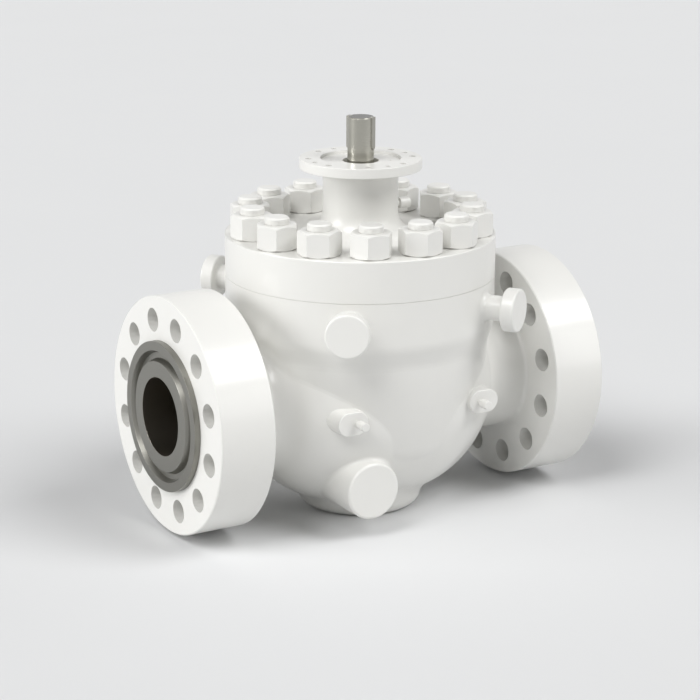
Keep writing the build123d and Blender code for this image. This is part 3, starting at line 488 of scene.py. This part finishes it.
def turned_metal(name, colour, about_x, roughness, spread=0.12, worn=0.8, edge_radius=0.0006, end=None):
    """Metal from a lathe: rings of finer and coarser marks, darker where the film of oil has aged.

    The spread is added to the roughness in the marks, and worn is how dark the metal gets. Edges are made
    lighter: polished, and a painted highlight. Above the end's height, the metal is darkened as a painted
    shade, for the dark reflection that the top end shows."""
    finish = Finish(name)
    marks = metal_relief(finish, turned_place(finish, about_x), TURNED_PITCH)
    cloud = finish.noise(OIL_PATCH, 3.0)
    normal, edges = finish.rounded(edge_radius)
    tint = finish.mix(shade(colour, worn), colour, marks * MARK_SHARE + cloud * (1 - MARK_SHARE))
    if end is not None:
        # darker above the end's height: a painted shade for the top end's dark reflection
        tint = finish.mix(tint, shade(colour, TOP_PAINTED_SHADE), finish.below(end, finish.z))
    return finish.finish(
        # lighter on edges: polish, and a painted highlight on the chamfers
        Base_Color=finish.mix(tint, shade(colour, POLISH_AND_HIGHLIGHT_SHADE), edges * EDGE_POLISH_AND_HIGHLIGHT),
        Metallic=1.0,
        Roughness=roughness + marks * spread + (cloud - 0.5) * OIL_CHANGE,
        Normal=finish.bump(marks, MARK_HEIGHT, normal),
    )


def plain_solid(name, colour, roughness, grain, height, variation=0.25):
    """Rubber, graphite or polymer: a fine grain, with cloudy lighter and darker places."""
    finish = Finish(name)
    cloud = finish.noise(SEAL_PATCH, 3.0)
    fine = finish.noise(grain, 2.0)
    return finish.finish(
        Base_Color=finish.mix(shade(colour, 1 - variation), shade(colour, 1 + variation), cloud),
        Roughness=roughness + (fine - 0.5) * GRAIN_CHANGE,
        Normal=finish.bump(fine, height, finish.rounded(SEAL_EDGE)[0]),
    )


class VALVE_OT_castings(bpy.types.Operator):
    """Paints the body and the bonnet, and leaves their machined faces bare."""

    bl_idname = "valve.castings"
    bl_label = "Body and bonnet"

    def execute(self, context):
        paint = context.scene.valve_paint
        steel = context.scene.valve_steel
        dress(painted("body_paint", paint, True, body_bare, steel), "body")
        dress(painted("bonnet_paint", paint, False, bonnet_bare, steel), "bonnet")
        return {"FINISHED"}


class VALVE_OT_painted_parts(bpy.types.Operator):
    """Paints the nuts, lugs, gland plate and fittings."""

    bl_idname = "valve.painted_parts"
    bl_label = "Painted parts"

    def execute(self, context):
        material = painted("part_paint", context.scene.valve_paint, False)
        dress(
            material, "bonnet_nuts", "bonnet_studs", "lifting_lugs", "gland_plate", "gland_screws",
            "seat_fittings", "stem_fitting",
        )
        return {"FINISHED"}


def stud_points(settings, low, high):
    """One stud about the Z axis, as a grid of heights by angles.

    The radius is the stud's own, less a share of the depth. The share is the height's distance from the
    nearest crest, 0 there and 1 half a pitch away, times the steepness and held between 0 and 1, so crest and
    root are flat. The crests rise by one pitch in a turn. Below the nut's top the stud is plain, and at its
    end the bevel cuts the crests."""
    threaded = np.arange(NUT_TOP, high, settings.pitch / settings.steps)
    heights = np.concatenate(([low, NUT_TOP - settings.pitch], threaded, [high]))[:, None]
    angles = np.linspace(0, 2 * np.pi, settings.segments, endpoint=False)[None, :]
    turn = (heights - NUT_TOP) / settings.pitch - angles / (2 * np.pi)
    groove = 2 * np.abs(turn - np.round(turn))
    groove = np.clip(groove * settings.steepness - (settings.steepness - 1) / 2, 0, 1)
    groove = np.where(heights < NUT_TOP, 0.0, groove)
    radius = settings.radius - settings.depth * groove
    radius = np.minimum(radius, settings.radius - settings.point + high - heights)
    return np.stack(
        (radius * np.cos(angles), radius * np.sin(angles), np.broadcast_to(heights, radius.shape)), axis=-1
    )


def closed_grid(points):
    """Vertices, sides and end fans of a grid that closes on itself along its second axis.

    A side joins four neighbours of the grid, and a fan's triangle joins two to the middle of their end."""
    rows, columns = points.shape[:2]
    index = np.arange(rows * columns).reshape(rows, columns)
    beside = np.roll(index, -1, axis=1)
    sides = np.stack((index[:-1], beside[:-1], beside[1:], index[1:]), axis=-1).reshape(-1, 4)
    foot = np.full(columns, rows * columns)
    fans = np.concatenate(
        (np.stack((beside[0], index[0], foot), axis=-1), np.stack((index[-1], beside[-1], foot + 1), axis=-1))
    )
    caps = np.array([points[0].mean(axis=0), points[-1].mean(axis=0)])
    return np.concatenate((points.reshape(-1, 3), caps)), sides, fans


class VALVE_OT_studs(bpy.types.Operator):
    """Makes the bonnet studs, with their painted threads above the nuts."""

    bl_idname = "valve.studs"
    bl_label = "Threaded studs"

    def execute(self, context):
        settings = context.scene.valve_studs
        low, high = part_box("bonnet_studs")
        vertices, sides, fans = closed_grid(stud_points(settings, low.z, high.z))
        angles = math.pi / 2 + 2 * np.pi * np.arange(settings.count) / settings.count
        circle = high.y - settings.radius
        level = np.zeros(settings.count)
        places = np.stack((circle * np.cos(angles), circle * np.sin(angles), level), axis=-1)
        every = (places[:, None, :] + vertices[None, :, :]).reshape(-1, 3)
        first = len(vertices) * np.arange(settings.count)[:, None, None]
        faces = (sides + first).reshape(-1, 4).tolist() + (fans + first).reshape(-1, 3).tolist()
        mesh = bpy.data.meshes.new("threaded_studs")
        mesh.from_pydata(every.tolist(), [], faces)
        studs = bpy.data.objects.new("threaded_studs", mesh)
        context.collection.objects.link(studs)
        mesh.materials.append(bpy.data.materials["part_paint"])
        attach(studs, "housing")
        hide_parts("bonnet_studs")
        return {"FINISHED"}


def spring_points(settings, low, high, outer):
    """Two dished discs about the X axis that meet at their rims, each as outline points by angles.

    A flank's place along the axis rises evenly with its radius, and the disc's other flank is the thickness
    further on. The second disc is the first one mirrored about the middle of the stack."""
    share = np.linspace(0, 1, settings.rows)
    radius = settings.inner + (outer - settings.inner) * share
    flank = share * ((high - low - settings.gap) / 2 - settings.thickness)
    radius = np.concatenate((radius, radius[::-1]))[:, None]
    along = np.concatenate((flank, flank[::-1] + settings.thickness))[:, None]
    angles = np.linspace(0, 2 * np.pi, settings.segments, endpoint=False)[None, :]
    across = radius * np.cos(angles)
    first = np.stack((np.broadcast_to(low + along, across.shape), across, radius * np.sin(angles)), axis=-1)
    second = first[::-1] * (-1, 1, 1) + (low + high, 0, 0)
    return np.stack((first, second))


class VALVE_OT_springs(bpy.types.Operator):
    """Makes the disc springs behind the seat rings, in place of the imported ones."""

    bl_idname = "valve.springs"
    bl_label = "Seat springs"

    def execute(self, context):
        settings = context.scene.valve_springs
        steel = context.scene.valve_steel
        material = turned_metal("spring_steel", steel.plating, True, roughness=0.3)
        for end in ("inlet", "outlet"):
            low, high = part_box(end + "_seat_springs")
            points = spring_points(settings, low.x, high.x, high.y)
            index = np.arange(points[..., 0].size).reshape(points.shape[:3])
            beside = np.roll(index, -1, axis=2)
            ahead = np.roll(index, -1, axis=1)
            faces = np.stack((index, beside, np.roll(beside, -1, axis=1), ahead), axis=-1)
            mesh = bpy.data.meshes.new(end + "_disc_springs")
            mesh.from_pydata(points.reshape(-1, 3).tolist(), [], faces.reshape(-1, 4).tolist())
            mesh.materials.append(material)
            springs = bpy.data.objects.new(mesh.name, mesh)
            context.collection.objects.link(springs)
            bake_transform(springs)
            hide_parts(end + "_seat_springs")
        return {"FINISHED"}


class VALVE_OT_stem(bpy.types.Operator):
    """Finishes the stem, its keys and the small steel pieces in ground steel."""

    bl_idname = "valve.stem"
    bl_label = "Stem and keys"

    def execute(self, context):
        steel = context.scene.valve_steel
        # The stem's top end is painted darker: a painted shade, for the dark reflection that it shows
        dress(
            turned_metal("ground_steel", steel.stem, False, roughness=0.2, end=STEM_TOP - EDGE), "stem"
        )
        dress(
            turned_metal("key_steel", shade(steel.stem, 0.9), False, roughness=0.28),
            "stem_keys", "antistatic_plunger", "bonnet_dowels", "trunnion_dowels", "lower_trunnion",
            "lantern_ring",
        )
        return {"FINISHED"}


class VALVE_OT_ball(bpy.types.Operator):
    """Finishes the ball in polished plating."""

    bl_idname = "valve.ball"
    bl_label = "Ball"

    def execute(self, context):
        steel = context.scene.valve_steel
        plating = turned_metal("ball_plating", steel.plating, True, roughness=0.1, spread=0.05, worn=0.93)
        dress(plating, "ball")
        return {"FINISHED"}


class VALVE_OT_seats(bpy.types.Operator):
    """Finishes the seat rings and their inserts."""

    bl_idname = "valve.seats"
    bl_label = "Seats"

    def execute(self, context):
        steel = context.scene.valve_steel
        colours = context.scene.valve_seals
        dress(
            turned_metal("seat_steel", steel.stem, True, roughness=0.24),
            "inlet_seat_ring", "outlet_seat_ring",
        )
        dress(
            plain_solid(
                "seat_polymer", colours.polymer, roughness=0.42, grain=0.0012, height=0.00004, variation=0.06
            ),
            "inlet_seat_insert", "outlet_seat_insert",
        )
        return {"FINISHED"}


class VALVE_OT_bearings(bpy.types.Operator):
    """Finishes the bushes and thrust washers in bearing bronze."""

    bl_idname = "valve.bearings"
    bl_label = "Bearings"

    def execute(self, context):
        steel = context.scene.valve_steel
        dress(
            turned_metal("bearing_bronze", steel.bronze, False, roughness=0.26),
            "trunnion_bush", "ball_thrust_washer", "upper_journal_bush", "stem_thrust_washer", "stem_bush",
        )
        return {"FINISHED"}


class VALVE_OT_seals(bpy.types.Operator):
    """Finishes the O-rings, the packing and the gasket."""

    bl_idname = "valve.seals"
    bl_label = "Seals"

    def execute(self, context):
        colours = context.scene.valve_seals
        dress(
            plain_solid("seal_rubber", colours.rubber, roughness=0.5, grain=0.0008, height=0.00003),
            "bonnet_o_ring", "stem_o_rings", "inlet_seat_o_rings", "outlet_seat_o_rings",
        )
        dress(
            plain_solid("packing_graphite", colours.graphite, roughness=0.45, grain=0.002, height=0.0002),
            "lower_packing", "upper_packing",
        )
        dress(
            turned_metal("gasket_windings", colours.windings, False, roughness=0.35, spread=0.25, worn=0.5),
            "bonnet_gasket",
        )
        return {"FINISHED"}


def stage_finish(name, colour):
    """Plain matt floor, a little darker in places."""
    finish = Finish(name)
    cloud = finish.noise(FLOOR_PATCH, 2.0)
    return finish.finish(Base_Color=finish.mix(shade(colour, 0.985), colour, cloud), Roughness=0.9)


def lamp(context, name, turn, height, strength):
    """A far soft lamp, whose light comes from that turn about the Z axis and that height."""
    data = bpy.data.lights.new(name, "SUN")
    data.energy = strength
    data.angle = math.radians(LAMP_SPREAD)
    made = bpy.data.objects.new(name, data)
    source = Vector((math.cos(turn) * math.cos(height), math.sin(turn) * math.cos(height), math.sin(height)))
    made.matrix_world = source.to_track_quat("Z", "Y").to_matrix().to_4x4()
    context.collection.objects.link(made)


class VALVE_OT_stage(bpy.types.Operator):
    """Makes the floor, the lamps and the camera."""

    bl_idname = "valve.stage"
    bl_label = "Studio"

    def execute(self, context):
        scene = context.scene
        settings = scene.valve_stage
        mesh = bpy.data.meshes.new("floor")
        corners = ((-1, -1), (1, -1), (1, 1), (-1, 1))
        mesh.from_pydata(
            [(x * FLOOR_REACH, y * FLOOR_REACH, FLOOR_HEIGHT) for x, y in corners], [], [(0, 1, 2, 3)]
        )
        mesh.materials.append(stage_finish("floor_paint", settings.floor))
        floor = bpy.data.objects.new("floor", mesh)
        context.collection.objects.link(floor)

        for name, turn, height, share in LAMPS:
            lamp(context, name, math.radians(turn), math.radians(height), settings.key * share)

        world = bpy.data.worlds.new("studio")
        world.use_nodes = True
        nodes = world.node_tree.nodes
        background = nodes["Background"]
        background.inputs["Color"].default_value = (1, 1, 1, 1)
        path = nodes.new("ShaderNodeLightPath")
        seen = nodes.new("ShaderNodeMath")
        seen.operation = "MAXIMUM"
        strength = nodes.new("ShaderNodeMapRange")
        links = world.node_tree.links
        links.new(path.outputs["Is Camera Ray"], seen.inputs[0])
        links.new(path.outputs["Is Glossy Ray"], seen.inputs[1])
        links.new(seen.outputs[0], strength.inputs["Value"])
        strength.inputs["To Min"].default_value = settings.fill
        strength.inputs["To Max"].default_value = settings.backdrop
        links.new(strength.outputs[0], background.inputs["Strength"])
        scene.world = world

        across = Vector((math.cos(settings.yaw), -math.sin(settings.yaw), 0))
        forward = Vector((
            math.sin(settings.yaw) * math.cos(settings.pitch),
            math.cos(settings.yaw) * math.cos(settings.pitch),
            -math.sin(settings.pitch),
        ))
        up = across.cross(forward)
        right = across * math.cos(settings.roll) + up * math.sin(settings.roll)
        top = up * math.cos(settings.roll) - across * math.sin(settings.roll)
        camera = bpy.data.objects.new("camera", bpy.data.cameras.new("camera"))
        camera.matrix_world = Matrix((
            (right.x, top.x, -forward.x, settings.camera_place[0]),
            (right.y, top.y, -forward.y, settings.camera_place[1]),
            (right.z, top.z, -forward.z, settings.camera_place[2]),
            (0, 0, 0, 1),
        ))
        camera.data.lens = settings.lens
        camera.data.sensor_width = SENSOR_WIDTH
        camera.data.clip_end = CLIP_END
        context.collection.objects.link(camera)
        scene.camera = camera
        scene.view_settings.view_transform = "Standard"
        return {"FINISHED"}


# In the order in which they run: the studs take the painted parts' material
OPERATORS = (
    VALVE_OT_castings,
    VALVE_OT_painted_parts,
    VALVE_OT_studs,
    VALVE_OT_springs,
    VALVE_OT_stem,
    VALVE_OT_ball,
    VALVE_OT_seats,
    VALVE_OT_bearings,
    VALVE_OT_seals,
    VALVE_OT_stage,
)


class VALVE_PT_panel(bpy.types.Panel):
    """Lists the valve's pieces in the sidebar."""

    bl_idname = "VALVE_PT_panel"
    bl_label = "Ball valve"
    bl_space_type = "VIEW_3D"
    bl_region_type = "UI"
    bl_category = "Valve"

    def draw(self, context):
        for operator in OPERATORS:
            self.layout.operator(operator.bl_idname)
        for name in GROUPS:
            group = getattr(context.scene, name)
            for prop in group.bl_rna.properties:
                if prop.identifier not in ("rna_type", "name"):
                    self.layout.prop(group, prop.identifier)


GROUPS = {
    "valve_paint": PaintSettings,
    "valve_steel": SteelSettings,
    "valve_seals": SealSettings,
    "valve_studs": StudSettings,
    "valve_springs": SpringSettings,
    "valve_stage": StageSettings,
}


def register():
    """Adds the settings to the scene, and the operators and the panel."""
    for name, group in GROUPS.items():
        bpy.utils.register_class(group)
        setattr(bpy.types.Scene, name, PointerProperty(type=group))
    for operator in OPERATORS:
        bpy.utils.register_class(operator)
    bpy.utils.register_class(VALVE_PT_panel)


def unregister():
    """Takes away what register adds, in the other order."""
    bpy.utils.unregister_class(VALVE_PT_panel)
    for operator in reversed(OPERATORS):
        bpy.utils.unregister_class(operator)
    for name, group in reversed(GROUPS.items()):
        delattr(bpy.types.Scene, name)
        bpy.utils.unregister_class(group)


def main():
    """Dresses the valve piece by piece."""
    register()
    for operator in OPERATORS:
        group, name = operator.bl_idname.split(".")
        getattr(getattr(bpy.ops, group), name)()


if __name__ == "__main__":
    main()
